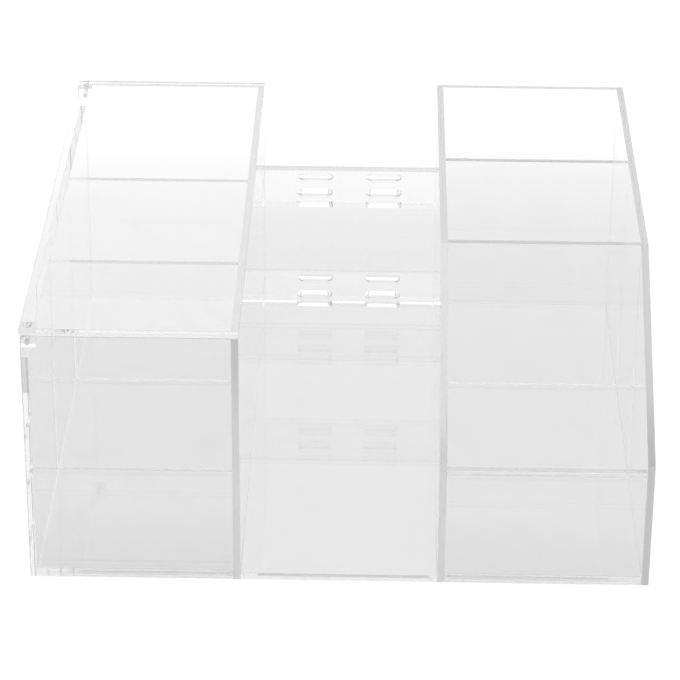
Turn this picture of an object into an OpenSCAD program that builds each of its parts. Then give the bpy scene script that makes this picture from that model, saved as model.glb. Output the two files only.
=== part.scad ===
// Clear vanity organizer of glued acrylic sheet: a bin with a hinged lid on the left, an open
// tray with two slotted plates in the middle, and an open bin with a sloping rim on the right.
// X runs right, Y runs back and Z up; the origin is at the middle of the footprint.

/* [Overall] */
// Outer depth, front to back
organizer_d = 254; // [240:1:300]
// Height of the open bin's rim and of the closed lid
organizer_h = 114.3; // [95:0.1:150]
// Thickness of the sheet that the walls, panels, floors and dividers are cut from
sheet_t = 3; // [2:0.1:4]

/* [Bins] */
// Outer width of the bin with the lid, both its walls included
lidded_bin_w = 86.7; // [70:0.1:90]
// Outer width of the open bin, both its walls included
open_bin_w = 86.7; // [70:0.1:90]
// Clear depth of the front compartments
front_cell_d = 80.7; // [60:0.1:90]
// Clear depth of the middle compartments
middle_cell_d = 80.6; // [60:0.1:90]
// Height of the open bin's front panel
open_front_h = 53; // [30:0.5:70]
// Height of the open bin's side walls at the front, where their slope ends
open_side_h = 56; // [30:0.5:80]

/* [Lid and hinge] */
// Thickness of the lid
lid_t = 3; // [2:0.1:4]
// Gap between the lid or its blocks and the faces that they pass
lid_gap = 0.3; // [0.2:0.05:0.5]
// Room between the turning hinge blocks and the low walls under them
block_room = 3; // [0.3:0.1:6]
// Side of the square hinge blocks under the lid
block_side = 6.35; // [6:0.05:8]
// Length of a hinge block along the hinge
block_l = 5; // [4:0.1:10]
// Diameter of the hinge pins
pin_d = 2; // [1.5:0.1:2.5]
// Clearance all round a pin in its block
pin_play = 0.05; // [0.02:0.01:0.1]

/* [Middle tray] */
// Clear width between the tray's walls
tray_w = 80.6; // [76:0.1:120]
// Height of the tray's back panel, level with the upper plate
tray_back_h = 72; // [50:0.5:90]
// Height of the lower plate's top
lower_plate_h = 19; // [12:0.5:30]
// Thickness of the slotted plates
plate_t = 3; // [2:0.1:4]
// From the front row of slots to the front edge of the upper plate
upper_margin = 8.5; // [4:0.1:15]
// From the front row of slots to the front edge of the lower plate
lower_margin = 5.5; // [4:0.1:15]
// Length of a slot, round ends included
slot_l = 16.5; // [10:0.1:20]
// Width of a slot
slot_w = 5.5; // [4.5:0.1:6.5]
// Distance between the two columns of slots
slot_column_gap = 32.1; // [24:0.1:40]
// Distance between the two rows of slots
slot_row_gap = 17.4; // [12:0.1:20]
// From the back panel's face to the middle of the rear row of slots
slot_back_edge = 7.9; // [6:0.1:12]

/* [Hidden] */
$fn = 48;

// Outer width of the whole, and clear inner width of each bin
organizer_w = lidded_bin_w + tray_w + open_bin_w;
lidded_clear_w = lidded_bin_w - 2*sheet_t;
open_clear_w = open_bin_w - 2*sheet_t;

// Left faces of the walls, and the faces of the tray and the bins between them
left_inner_x = lidded_bin_w - sheet_t;
tray_x = lidded_bin_w;
right_inner_x = tray_x + tray_w;
right_cell_x = right_inner_x + sheet_t;
right_outer_x = organizer_w - sheet_t;

// Front faces of the dividers and of the back panels
front_divider_y = sheet_t + front_cell_d;
rear_divider_y = front_divider_y + sheet_t + middle_cell_d;
back_panel_y = organizer_d - sheet_t;
floor_d = organizer_d - 2*sheet_t;

// Lid and hinge: each block turns about the pin in its middle, so the walls under it stop below
// the circle that its corners sweep, and the panels that hold the pins are rounded about them
lid_underside = organizer_h - lid_t;
lidded_rim_h = lid_underside - lid_gap;
hinge_x = block_side/2;
hinge_h = lid_underside - block_side/2;
panel_end_r = block_side/2 - lid_gap;
panel_end_x = hinge_x - panel_end_r;
low_wall_h = hinge_h - block_side*sqrt(2)/2 - block_room;
pin_l = sheet_t + lid_gap + block_l;

// From the back panel's face to the front of the front slots
slots_d = slot_back_edge + slot_row_gap + slot_w/2;

// Overrun of cutting tools past the faces they cut
overrun = 1;

acrylic = [0.90, 0.93, 0.94, 0.35];
steel = [0.55, 0.56, 0.58];

// Moves a piece from corner coordinates, with the outer front left corner at zero, to the frame
module placed() {
    translate([-organizer_w/2, -organizer_d/2, 0])
        children();
}

// A rectangular piece of sheet
module sheet(corner, size) {
    placed()
        translate(corner)
            color(acrylic)
                cube(size);
}

// A pin or a bore along Y, on the hinge axis
module hinge_cylinder(from_y, length, diameter) {
    translate([hinge_x, from_y + length, hinge_h])
        rotate([90, 0, 0])
            cylinder(d=diameter, h=length);
}

// Side wall of the open bin: full height at the back, sloping down in front of the first divider
module open_side_wall(left_x) {
    placed()
        translate([left_x, 0, 0])
            rotate([90, 0, 90])
                color(acrylic)
                    linear_extrude(sheet_t)
                        polygon([
                            [0, 0],
                            [organizer_d, 0],
                            [organizer_d, organizer_h],
                            [front_divider_y, organizer_h],
                            [0, open_side_h]
                        ]);
}

// Outline of the lidded bin's end panels, whose upper left corner is round about the pin
module hinge_panel_outline() {
    difference() {
        translate([panel_end_x, 0])
            square([left_inner_x - panel_end_x, lidded_rim_h]);
        translate([panel_end_x - overrun, hinge_h])
            square([panel_end_r + overrun, panel_end_r + overrun]);
    }
    intersection() {
        translate([hinge_x, hinge_h])
            circle(r=panel_end_r);
        translate([panel_end_x, hinge_h])
            square([panel_end_r, panel_end_r]);
    }
}

// End panel of the lidded bin, drilled for its hinge pin
module hinge_panel(front_y) {
    placed()
        color(acrylic)
            difference() {
                translate([0, front_y + sheet_t, 0])
                    rotate([90, 0, 0])
                        linear_extrude(sheet_t)
                            hinge_panel_outline();
                hinge_cylinder(front_y - overrun, sheet_t + 2*overrun, pin_d);
            }
}

// Divider of the lidded bin, low enough for the lid's blocks to turn
module low_divider(front_y) {
    sheet([sheet_t, front_y, sheet_t], [lidded_clear_w, sheet_t, low_wall_h - sheet_t]);
}

// Divider of the open bin, as high as its rim
module full_divider(front_y) {
    sheet([right_cell_x, front_y, sheet_t], [open_clear_w, sheet_t, organizer_h - sheet_t]);
}

// Square block glued under the lid, bored for the hinge pin
module hinge_block(front_y) {
    placed()
        color(acrylic)
            difference() {
                translate([0, front_y, lid_underside - block_side])
                    cube([block_side, block_l, block_side]);
                hinge_cylinder(front_y - overrun, block_l + 2*overrun, pin_d + 2*pin_play);
            }
}

// Steel pin pressed into an end panel
module hinge_pin(from_y) {
    placed()
        color(steel)
            hinge_cylinder(from_y, pin_l, pin_d);
}

// A slot with round ends, centred
module slot_outline() {
    straight_l = slot_l - slot_w;
    square([straight_l, slot_w], center=true);
    for (side = [-1, 1])
        translate([side*straight_l/2, 0])
            circle(d=slot_w);
}

// Plate between the tray's walls with two rows and two columns of slots
module slot_plate(top_h, margin) {
    plate_d = slots_d + margin;
    placed()
        translate([tray_x, back_panel_y - plate_d, top_h - plate_t])
            color(acrylic)
                linear_extrude(plate_t)
                    difference() {
                        square([tray_w, plate_d]);
                        for (column = [-1, 1], row = [0, 1])
                            translate([
                                tray_w/2 + column*slot_column_gap/2,
                                plate_d - slot_back_edge - row*slot_row_gap
                            ])
                                slot_outline();
                    }
}

module left_outer_wall() {
    sheet([0, sheet_t, 0], [sheet_t, floor_d, low_wall_h]);
}

module left_inner_wall() {
    sheet([left_inner_x, 0, 0], [sheet_t, organizer_d, lidded_rim_h]);
}

module right_inner_wall() {
    open_side_wall(right_inner_x);
}

module right_outer_wall() {
    open_side_wall(right_outer_x);
}

module left_floor() {
    sheet([sheet_t, sheet_t, 0], [lidded_clear_w, floor_d, sheet_t]);
}

module left_front_panel() {
    hinge_panel(0);
}

module left_back_panel() {
    hinge_panel(back_panel_y);
}

module left_divider_front() {
    low_divider(front_divider_y);
}

module left_divider_rear() {
    low_divider(rear_divider_y);
}

module hinge_pin_front() {
    hinge_pin(0);
}

module hinge_pin_rear() {
    hinge_pin(organizer_d - pin_l);
}

module lid_plate() {
    sheet([0, 0, lid_underside], [lidded_bin_w, organizer_d, lid_t]);
}

module hinge_block_front() {
    hinge_block(sheet_t + lid_gap);
}

module hinge_block_rear() {
    hinge_block(back_panel_y - lid_gap - block_l);
}

module centre_floor() {
    sheet([tray_x, 0, 0], [tray_w, back_panel_y, sheet_t]);
}

module centre_back_panel() {
    sheet([tray_x, back_panel_y, 0], [tray_w, sheet_t, tray_back_h]);
}

module upper_slot_plate() {
    slot_plate(tray_back_h, upper_margin);
}

module lower_slot_plate() {
    slot_plate(lower_plate_h, lower_margin);
}

module right_floor() {
    sheet([right_cell_x, sheet_t, 0], [open_clear_w, floor_d, sheet_t]);
}

module right_front_panel() {
    sheet([right_cell_x, 0, 0], [open_clear_w, sheet_t, open_front_h]);
}

module right_back_panel() {
    sheet([right_cell_x, back_panel_y, 0], [open_clear_w, sheet_t, organizer_h]);
}

module right_divider_front() {
    full_divider(front_divider_y);
}

module right_divider_rear() {
    full_divider(rear_divider_y);
}

left_outer_wall();
left_inner_wall();
right_inner_wall();
right_outer_wall();
left_floor();
left_front_panel();
left_back_panel();
left_divider_front();
left_divider_rear();
hinge_pin_front();
hinge_pin_rear();
lid_plate();
hinge_block_front();
hinge_block_rear();
centre_floor();
centre_back_panel();
upper_slot_plate();
lower_slot_plate();
right_floor();
right_front_panel();
right_back_panel();
right_divider_front();
right_divider_rear();
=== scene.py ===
import math

import bpy
from mathutils import Matrix, Vector

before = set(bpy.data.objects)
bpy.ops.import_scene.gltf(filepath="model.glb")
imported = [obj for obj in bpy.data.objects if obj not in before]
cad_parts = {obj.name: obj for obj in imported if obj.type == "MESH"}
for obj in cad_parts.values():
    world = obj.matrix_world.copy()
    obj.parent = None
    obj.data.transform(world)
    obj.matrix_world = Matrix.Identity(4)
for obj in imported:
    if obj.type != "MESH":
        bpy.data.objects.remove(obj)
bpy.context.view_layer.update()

scene = bpy.context.scene


# Floors of the two bins and of the tray. They are cut by laser from clear cast acrylic sheet, lie
# flat between the walls and are glued to them with solvent, which leaves no fillet. The sheet's
# faces are glossy and carry faint wipe marks.
BIN_FLOORS = ("left_floor", "right_floor")
TRAY_FLOOR = ("centre_floor", )
ALONG_X, ALONG_Y, ALONG_Z = 0, 1, 2


class Value:
    """A number or vector that comes out of a node, with Python's operators for Math nodes."""

    def __init__(self, shader, socket):
        self.shader = shader
        self.socket = socket

    def math(self, operation, *terms):
        return self.shader.node("Math", {"operation": operation}, dict(enumerate(terms)))

    def __add__(self, other):
        return self.math("ADD", self, other)

    def __sub__(self, other):
        return self.math("SUBTRACT", self, other)

    def __rsub__(self, other):
        return self.math("SUBTRACT", other, self)

    def __mul__(self, other):
        return self.math("MULTIPLY", self, other)

    def __lt__(self, other):
        return self.math("LESS_THAN", self, other)

    def __abs__(self):
        return self.math("ABSOLUTE", self)

    __radd__ = __add__
    __rmul__ = __mul__


class Shader:
    """The nodes of one material or world, empty at first."""

    def __init__(self, holder):
        holder.use_nodes = True
        self.tree = holder.node_tree
        self.tree.nodes.clear()

    def node(self, kind, settings=None, sockets=None, out=0):
        made = self.tree.nodes.new("ShaderNode" + kind)
        for name, value in (settings or {}).items():
            if name == "stops":
                stops = made.color_ramp.elements
                while len(stops) < len(value):
                    stops.new(0)
                for stop, (place, level) in zip(stops, value):
                    stop.position = place
                    stop.color = (level, level, level, 1)
            else:
                setattr(made, name, value)
        for name, value in (sockets or {}).items():
            if isinstance(value, Value):
                self.tree.links.new(value.socket, made.inputs[name])
            else:
                made.inputs[name].default_value = value
        return Value(self, made.outputs[out]) if made.outputs else made


# Sockets of a Mix node that blends colours
FIRST, SECOND, BLEND = 6, 7, 2


def clear_acrylic(name, sawn_axis, seed, sawn_roughness=0.45, sawn_tint=0.76, slope_tint=0.94,
                  foot_tint=0.9, absorption=0.95):
    """Clear cast sheet. Its end on the low side of sawn_axis, and a slope there, are left as sawn."""
    refraction = 1.49
    tint = (0.993, 0.993, 0.993, 1)
    wiped_tint = (0.977, 0.977, 0.977, 1)
    wipe_size = 0.022
    wipe_detail = 3
    wipe_swirl = 1.5
    wipe_from, wipe_full = 0.5, 0.75
    face_roughness = 0.004
    wiped_roughness = 0.02
    slope_roughness = 0.28
    slope_facing, end_facing = 0.5, 0.9
    level_facing = 0.7
    joint_reach = 0.0001
    half_open = 0.5

    material = bpy.data.materials.new(name)
    shader = Shader(material)
    place = shader.node("TexCoord", out="Object")
    normal = shader.node("TexCoord", out="Normal")
    inside = shader.node("NewGeometry", out="Backfacing")
    along = shader.node("SeparateXYZ", {}, {0: normal}, out=sawn_axis)*(1 - 2*inside)
    cut = along < -slope_facing
    sawn = along < -end_facing
    level = 1 - (abs(shader.node("SeparateXYZ", {}, {0: normal}, out=ALONG_Z)) < level_facing)
    smear = shader.node("TexNoise", {"noise_dimensions": "4D"}, {
        "Vector": place, "W": seed, "Scale": 1/wipe_size, "Detail": wipe_detail, "Distortion": wipe_swirl})
    wiped = shader.node("MapRange", {"interpolation_type": "SMOOTHSTEP"}, {
        "Value": smear, "From Min": wipe_from, "From Max": wipe_full})

    clear = shader.node("Mix", {"data_type": "RGBA"}, {
        "Factor": wiped, FIRST: tint, SECOND: wiped_tint}, out=BLEND)
    hazed = shader.node("Mix", {"data_type": "RGBA"}, {
        "Factor": cut, FIRST: clear, SECOND: (slope_tint, slope_tint, slope_tint, 1)}, out=BLEND)
    colour = shader.node("Mix", {"data_type": "RGBA"}, {
        "Factor": sawn, FIRST: hazed, SECOND: (sawn_tint, sawn_tint, sawn_tint, 1)}, out=BLEND)
    roughness = face_roughness + wiped_roughness*wiped + sawn_roughness*sawn + slope_roughness*(cut - sawn)
    sheet = shader.node("BsdfPrincipled", {}, {
        "Base Color": colour, "Roughness": roughness, "IOR": refraction, "Transmission Weight": 1})

    # Where another sheet is glued on, light goes straight through, a little dimmed under feet
    facing = shader.node("NewGeometry", out="Normal")
    outward = shader.node("VectorMath", {"operation": "SCALE"}, {0: facing, "Scale": 1 - 2*inside})
    gap = shader.node("AmbientOcclusion", {"samples": 1}, {
        "Distance": joint_reach, "Normal": outward}, out="AO")
    closed = gap < half_open
    foot = shader.node("BsdfTransparent", {}, {"Color": (foot_tint, foot_tint, foot_tint, 1)})
    side = shader.node("BsdfTransparent", {}, {"Color": (1, 1, 1, 1)})
    glued = shader.node("MixShader", {}, {0: level, 1: side, 2: foot})
    surface = shader.node("MixShader", {}, {0: closed, 1: sheet, 2: glued})
    body = shader.node("VolumeAbsorption", {}, {"Color": (0, 0, 0, 1), "Density": absorption})
    shader.node("OutputMaterial", {}, {"Surface": surface, "Volume": body})
    return material


def dress(names, material, joint_gap=0.00002, edge_break=0.00006):
    """Gives pieces their material and broken edges, and the hair's breadth that parts glued faces."""
    corner_reach = 0.000001
    facets = 2
    for name in names:
        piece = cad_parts[name]
        piece.data.materials.clear()
        piece.data.materials.append(material)
        corners = piece.modifiers.new("closed corners", "WELD")
        corners.merge_threshold = corner_reach
        bevel = piece.modifiers.new("broken edges", "BEVEL")
        bevel.width = edge_break
        bevel.segments = facets
        bevel.limit_method = "ANGLE"
        if joint_gap:
            joint = piece.modifiers.new("solvent joint", "DISPLACE")
            joint.strength = -joint_gap
            joint.mid_level = 0


dress(BIN_FLOORS, clear_acrylic("clear_acrylic_flat", ALONG_X, seed=1.3, absorption=1.15))
dress(TRAY_FLOOR, clear_acrylic("clear_acrylic_tray", ALONG_X, seed=2.6))


# The four side walls, of the same sheet set on edge. The left bin's stop under its hinge blocks and
# lid, and the right bin's slope down at the front. Front ends and slopes are left as sawn, except
# that the left outer wall's front end is buffed a little. The outer walls' sawn ends also carry
# painted light: tinted lighter on the left wall and darker, as painted shade, on the right one.
LEFT_OUTER_WALL = ("left_outer_wall", )
INNER_WALLS = ("left_inner_wall", "right_inner_wall")
RIGHT_OUTER_WALL = ("right_outer_wall", )
# Painted light: the left outer wall's sawn front end is tinted lighter, as if lit from the left, besides
# being buffed smoother
buffed_and_lit = clear_acrylic("clear_acrylic_left", ALONG_Y, seed=3.2,
                       sawn_roughness=0.28, sawn_tint=0.98, absorption=0.7)
# Painted shade: the right outer wall's sawn front end and slope are tinted darker, as if shaded on the
# right
sawn_and_shaded = clear_acrylic("clear_acrylic_right", ALONG_Y, seed=5.5,
                      sawn_tint=0.58, slope_tint=0.76, absorption=1.2)
dress(LEFT_OUTER_WALL, buffed_and_lit, joint_gap=0)
dress(INNER_WALLS, clear_acrylic("clear_acrylic_sideways", ALONG_Y, seed=4.1), joint_gap=0)
dress(RIGHT_OUTER_WALL, sawn_and_shaded, joint_gap=0)


# Front and back panels and dividers, glued between the walls. The left bin's end panels are
# rounded about the hinge pins, and its dividers are lower than its rim.
PANELS = (
    "left_front_panel", "left_back_panel", "left_divider_front", "left_divider_rear",
    "centre_back_panel",
    "right_front_panel", "right_back_panel", "right_divider_front", "right_divider_rear",
)
dress(PANELS, clear_acrylic("clear_acrylic_upright", ALONG_X, seed=7.7))


# Plates of the tray, glued in on three sides, one above the other. Each has four slots cut by
# laser for the handles and tips of tools that stand in it.
PLATES = ("upper_slot_plate", "lower_slot_plate")
dress(PLATES, clear_acrylic("clear_acrylic_plate", ALONG_X, seed=9.2))


# Lid of the left bin, a plain plate that lies 0.3 mm above the rims, with a bored square block
# glued under each of its left corners. It swings up about the two pins.
LID = ("lid_plate", )
BLOCKS = ("hinge_block_front", "hinge_block_rear")
lid_acrylic = clear_acrylic("clear_acrylic_lid", ALONG_X, seed=12.6,
                            sawn_roughness=0.15, sawn_tint=0.99, foot_tint=1)
dress(LID, lid_acrylic, joint_gap=0)
dress(BLOCKS, lid_acrylic)


# Hinge pins, of 2 mm drawn steel wire. Each is pressed into an end panel of the left bin and
# runs loose in the block beside it. The drawing die leaves fine scratches along the wire.
PINS = ("hinge_pin_front", "hinge_pin_rear")


def drawn_steel(name):
    """Bare steel wire with scratches along Y."""
    bright = (0.92, 0.92, 0.93, 1)
    dull = (0.8, 0.8, 0.81, 1)
    scratch_pitch = 0.0001
    scratch_stretch = 20
    scratch_detail = 3
    scratch_depth = 0.000004
    smooth_roughness = 0.22
    scratched_roughness = 0.2

    material = bpy.data.materials.new(name)
    shader = Shader(material)
    place = shader.node("TexCoord", out="Object")
    drawn = shader.node("VectorMath", {"operation": "MULTIPLY"}, {0: place, 1: (1, 1/scratch_stretch, 1)})
    scratches = shader.node("TexNoise", {}, {
        "Vector": drawn, "Scale": 1/scratch_pitch, "Detail": scratch_detail})
    colour = shader.node("Mix", {"data_type": "RGBA"}, {
        "Factor": scratches, FIRST: dull, SECOND: bright}, out=BLEND)
    relief = shader.node("Bump", {}, {"Height": scratches, "Distance": scratch_depth})
    surface = shader.node("BsdfPrincipled", {}, {
        "Base Color": colour, "Metallic": 1, "Normal": relief,
        "Roughness": smooth_roughness + scratched_roughness*scratches})
    shader.node("OutputMaterial", {}, {"Surface": surface})
    return material


dress(PINS, drawn_steel("drawn_steel"), joint_gap=0, edge_break=0.0002)


# The counter that it stands on, of white matt laminate, which takes the shadow. The clear sheet
# shows it with painted shade, pale grey in front and white behind and a little darker under the
# bins' fronts, and with a painted gleam of light under the left outer wall.
COUNTER_SIZE = 6
COUNTER_DROP = 0.0002


def white_laminate(name):
    """Matt white to the camera, and to the clear sheet white with painted shade and a painted gleam."""
    matt_white = (0.1, 0.1, 0.1, 1)
    seen_white = 0.95
    fade_reach = 0.5
    fade_stops = (
        (0, 0.712), (0.12, 0.718), (0.3, 0.74), (0.43, 0.77),
        (0.5, 0.81), (0.56, 0.845), (0.62, 0.92), (0.7, 1.05))
    shade_from, shade_end = -0.125, -0.06
    shade = 0.1
    tray_half = 0.04
    wall_middle = -0.1252
    wall_end = 0.127
    gleam_half, gleam_reach = 0.0008, 0.0024
    gleam = 0.14

    material = bpy.data.materials.new(name)
    shader = Shader(material)
    place = shader.node("TexCoord", out="Object")
    across = shader.node("SeparateXYZ", {}, {0: place}, out=ALONG_X)
    back = shader.node("SeparateXYZ", {}, {0: place}, out=ALONG_Y)
    by_camera = shader.node("LightPath", out="Is Camera Ray")
    by_mirror = shader.node("LightPath", out="Is Glossy Ray")
    by_glass = shader.node("LightPath", out="Is Transmission Ray")
    # Painted shade: the counter pale grey under and in front of the organizer, fading to white behind
    fade = shader.node("ValToRGB", {"stops": fade_stops}, {0: back*(1/fade_reach)})
    # Painted shadow: the counter darker under the bins' fronts, not under the tray
    front = shader.node("MapRange", {"interpolation_type": "SMOOTHSTEP"}, {
        "Value": back, "From Min": shade_from, "From Max": shade_end, "To Min": shade, "To Max": 0})
    bins = 1 - (abs(across) < tray_half)
    # Painted light: a gleam on the counter in a strip under the left outer wall
    painted_wall_gleam = shader.node("MapRange", {"interpolation_type": "SMOOTHSTEP"}, {
        "Value": abs(across - wall_middle),
        "From Min": gleam_half, "From Max": gleam_reach, "To Min": gleam, "To Max": 0})
    painted_shade_and_gleam = 1 - front*bins + painted_wall_gleam*(abs(back) < wall_end)
    seen = shader.node("Math", {"operation": "MAXIMUM"}, {0: by_mirror, 1: by_glass})
    glow = seen_white*by_camera + fade*painted_shade_and_gleam*seen*(1 - by_camera)
    matt = shader.node("BsdfDiffuse", {}, {"Color": matt_white})
    white = shader.node("Emission", {}, {"Color": glow})
    surface = shader.node("AddShader", {}, {0: matt, 1: white})
    shader.node("OutputMaterial", {}, {"Surface": surface})
    return material


bpy.ops.mesh.primitive_plane_add(size=COUNTER_SIZE, location=(0, 0, -COUNTER_DROP))
counter = bpy.context.object
counter.name = "counter"
counter.data.materials.append(white_laminate("white_laminate"))


# The studio, a plain white room that lights the organizer from all sides. Its walls are brightest
# some 27 degrees up and a little dimmer towards the camera, which itself sees them plain white.
WALL_STOPS = ((0, 1), (0.3, 1.1), (0.46, 1.2), (0.6, 1.1), (0.7, 1.05), (1, 1.15))
DIM_FROM, DIM_END = -0.7, 0.1
DIM = 0.8

room = bpy.data.worlds.new("white_room")
scene.world = room
shader = Shader(room)
direction = shader.node("TexCoord", out="Generated")
height = shader.node("SeparateXYZ", {}, {0: direction}, out=ALONG_Z)
toward_back = shader.node("SeparateXYZ", {}, {0: direction}, out=ALONG_Y)
light = shader.node("ValToRGB", {"stops": WALL_STOPS}, {0: height})
dim = shader.node("MapRange", {"interpolation_type": "SMOOTHSTEP"}, {
    "Value": toward_back, "From Min": DIM_FROM, "From Max": DIM_END, "To Min": DIM, "To Max": 1})
by_camera = shader.node("LightPath", out="Is Camera Ray")
lit = shader.node("Background", {}, {"Color": light, "Strength": dim})
plain = shader.node("Background", {}, {"Color": (1, 1, 1, 1)})
either = shader.node("MixShader", {}, {0: by_camera, 1: lit, 2: plain})
shader.node("OutputWorld", {}, {"Surface": either})

# Light goes round inside the sheets many times before it leaves at an edge
SHEET_BOUNCES = 96
MATT_BOUNCES = 3
scene.cycles.max_bounces = SHEET_BOUNCES
scene.cycles.transparent_max_bounces = SHEET_BOUNCES
scene.cycles.transmission_bounces = SHEET_BOUNCES
scene.cycles.glossy_bounces = SHEET_BOUNCES
scene.cycles.diffuse_bounces = MATT_BOUNCES


# The camera, where the corners of the photographed organizer put it: above the front, looking
# down along the depth, with the long lens that keeps the uprights almost parallel.
PHOTO_SIZE = 680
FOCAL_PIXELS = 3026.05
SENSOR = 36
camera_place = Vector((0.016676, -1.183638, 0.661337))
pitch = math.radians(27.493)
yaw = math.radians(-0.914)
roll = math.radians(0.397)

forward = Vector((math.sin(yaw)*math.cos(pitch), math.cos(yaw)*math.cos(pitch), -math.sin(pitch)))
level_right = Vector((math.cos(yaw), -math.sin(yaw), 0))
level_up = level_right.cross(forward)
right = level_right*math.cos(roll) + level_up*math.sin(roll)
up = level_up*math.cos(roll) - level_right*math.sin(roll)
camera_data = bpy.data.cameras.new("camera")
camera_data.sensor_width = SENSOR
camera_data.lens = SENSOR*FOCAL_PIXELS/PHOTO_SIZE
camera = bpy.data.objects.new("camera", camera_data)
scene.collection.objects.link(camera)
camera.matrix_world = Matrix.Translation(camera_place) @ Matrix((right, up, -forward)).transposed().to_4x4()
scene.camera = camera
scene.view_settings.view_transform = "Standard"
